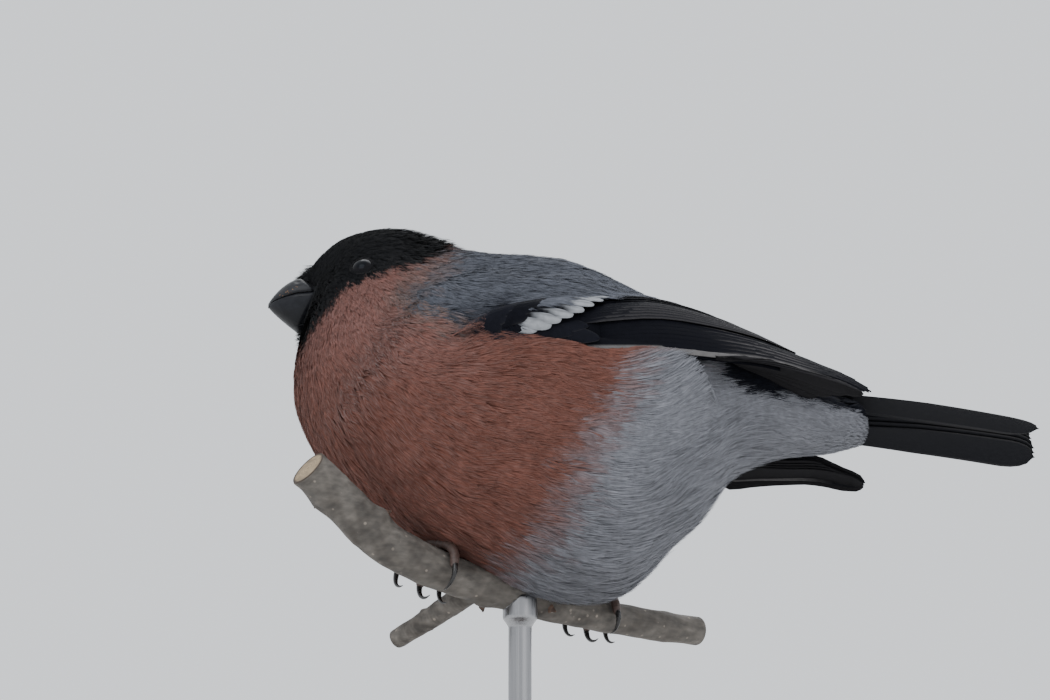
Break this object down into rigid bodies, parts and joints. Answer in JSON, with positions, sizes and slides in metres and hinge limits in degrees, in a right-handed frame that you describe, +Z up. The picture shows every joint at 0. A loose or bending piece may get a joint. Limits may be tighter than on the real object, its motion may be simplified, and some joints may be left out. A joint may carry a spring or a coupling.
{
  "type": "bullfinch",
  "caption": "Life-size male bullfinch with puffed winter plumage, perched on a short cut branch on a plain round display stand.",
  "frame": {"origin": "centre of the round base's underside, where the model stands", "axes": "+Z up, +X from beak to tail along the bird, -Y out of the bird's left side"},
  "size_m": [0.1628, 0.088, 0.1543],
  "materials": {
    "plumage": "soft matte feathers",
    "quills": "smooth vanes with a dark blue gloss",
    "horn": "satin horn",
    "eye": "polished",
    "leg_skin": "scaled, satin",
    "bark": "rough bark",
    "stand_wood": "satin varnish",
    "stand_steel": "brushed"
  },
  "bodies": {
    "root": {"head": "plumage", "neck": "plumage", "torso": "plumage", "rump": "plumage", "wing_left": "quills", "wing_right": "quills", "tail": "quills", "beak_upper": "horn", "beak_lower": "horn", "eye_left": "eye", "eye_right": "eye", "leg_left": "leg_skin", "leg_right": "leg_skin", "perch": "bark", "stand_base": "stand_wood", "stand_rod": "stand_steel"}
  },
  "joints": []
}
